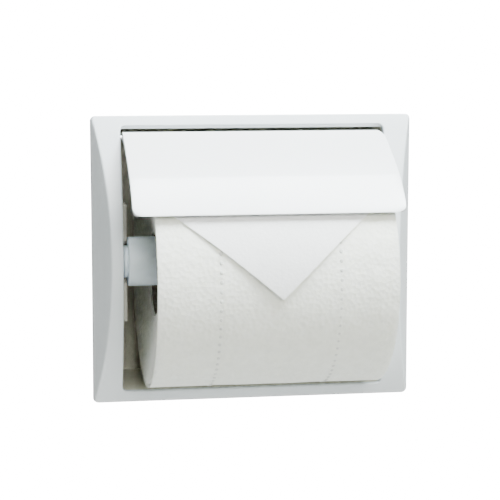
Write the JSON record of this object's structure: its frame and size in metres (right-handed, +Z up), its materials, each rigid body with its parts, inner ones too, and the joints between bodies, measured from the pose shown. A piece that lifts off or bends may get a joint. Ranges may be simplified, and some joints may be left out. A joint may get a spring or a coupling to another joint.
{
  "type": "recessed toilet paper holder",
  "caption": "Recessed toilet paper holder: crowned front frame, hinged cover flap with a tearing lip, spring-loaded spindle and a paper roll whose end is folded to a point.",
  "frame": {"origin": "centre of the frame's back, where the frame meets the finished face of the wall", "axes": "+X to the right seen from the room, +Y into the wall, +Z up; the room is on the -Y side"},
  "size_m": [0.16, 0.1202, 0.142],
  "materials": {
    "white_plastic": "satin moulded, white",
    "plate_plastic": "satin moulded, warm white",
    "tub_plastic": "matt moulded, pale grey",
    "spindle_plastic": "cloudy, bluish white",
    "steel": "bright",
    "paper": "soft two-ply tissue with pressed dots",
    "cardboard": "brown-grey board"
  },
  "bodies": {
    "housing": {"front_frame": "white_plastic", "recess_tub": "tub_plastic", "left_socket_plate": "plate_plastic", "right_socket_plate": "plate_plastic", "hinge_rod": "steel", "frame_screw_left_lower": "steel", "frame_screw_left_upper": "steel", "frame_screw_right_lower": "steel", "frame_screw_right_upper": "steel", "plate_screw_left_lower": "steel", "plate_screw_left_upper": "steel", "plate_screw_right_lower": "steel", "plate_screw_right_upper": "steel", "tub_screw_left_lower": "steel", "tub_screw_left_upper": "steel", "tub_screw_right_lower": "steel", "tub_screw_right_upper": "steel"},
    "cover": {"cover_flap": "white_plastic"},
    "spindle": {"spindle_barrel": "spindle_plastic", "spindle_spring": "steel"},
    "plunger": {"spindle_plunger": "spindle_plastic"},
    "roll": {"core_tube": "cardboard", "paper_roll": "paper", "paper_tail": "paper"}
  },
  "joints": [
    {"name": "cover_hinge", "type": "hinge", "parent": "housing", "child": "cover", "pos_m": [0, -0.0032, 0.0604], "axis": [-1, 0, 0], "range_deg": [0, 60]},
    {"name": "spindle_spin", "type": "hinge", "parent": "housing", "child": "spindle", "pos_m": [0, -0.0084, 0.0005], "axis": [1, 0, 0], "continuous": true},
    {"name": "spindle_compress", "type": "slide", "parent": "spindle", "child": "plunger", "axis": [-1, 0, 0], "range_m": [0, 0.009], "stiffness_N_per_m": 350, "springref_m": -0.012, "deforming": ["spindle_spring"]},
    {"name": "roll_spin", "type": "hinge", "parent": "housing", "child": "roll", "pos_m": [0, -0.0084, -0.0064], "axis": [1, 0, 0], "continuous": true}
  ]
}
